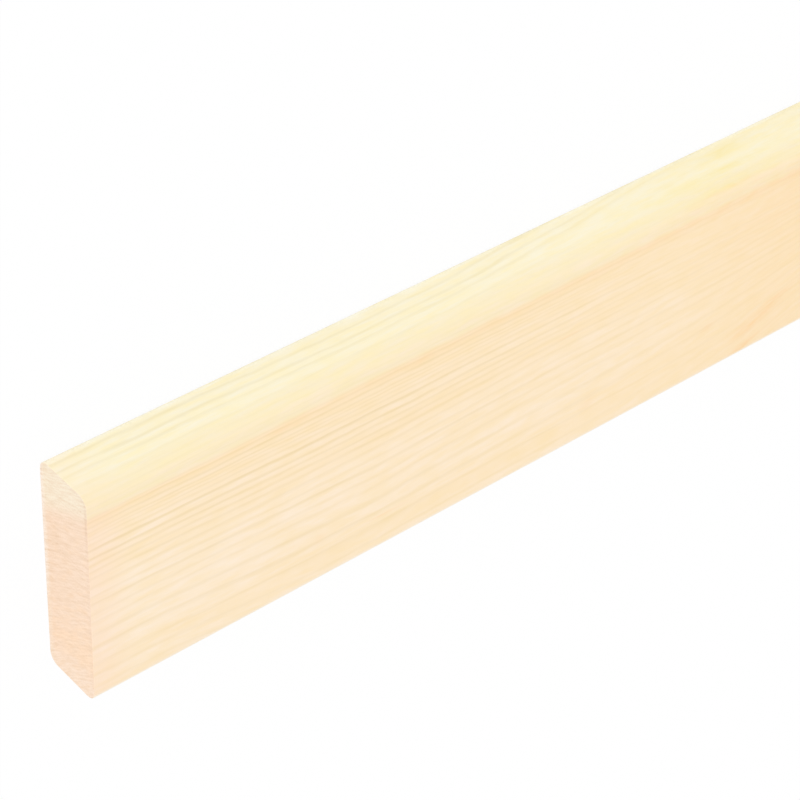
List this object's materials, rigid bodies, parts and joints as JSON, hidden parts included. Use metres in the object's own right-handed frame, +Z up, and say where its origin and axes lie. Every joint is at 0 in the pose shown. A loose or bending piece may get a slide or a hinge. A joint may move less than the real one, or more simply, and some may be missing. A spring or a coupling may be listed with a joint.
{
  "type": "planed batten",
  "caption": "Straight planed softwood batten of flat rectangular section, with its four long arrises rounded and both ends sawn square.",
  "frame": {"origin": "middle of the back face that the batten lies on, at the middle of its length", "axes": "+X along the grain, +Y across the width, +Z up through the thickness towards the front face"},
  "size_m": [1, 0.042, 0.012],
  "materials": {
    "planed_softwood": "planed smooth and left bare, with sawn ends"
  },
  "bodies": {
    "root": {"batten": "planed_softwood"}
  },
  "joints": []
}
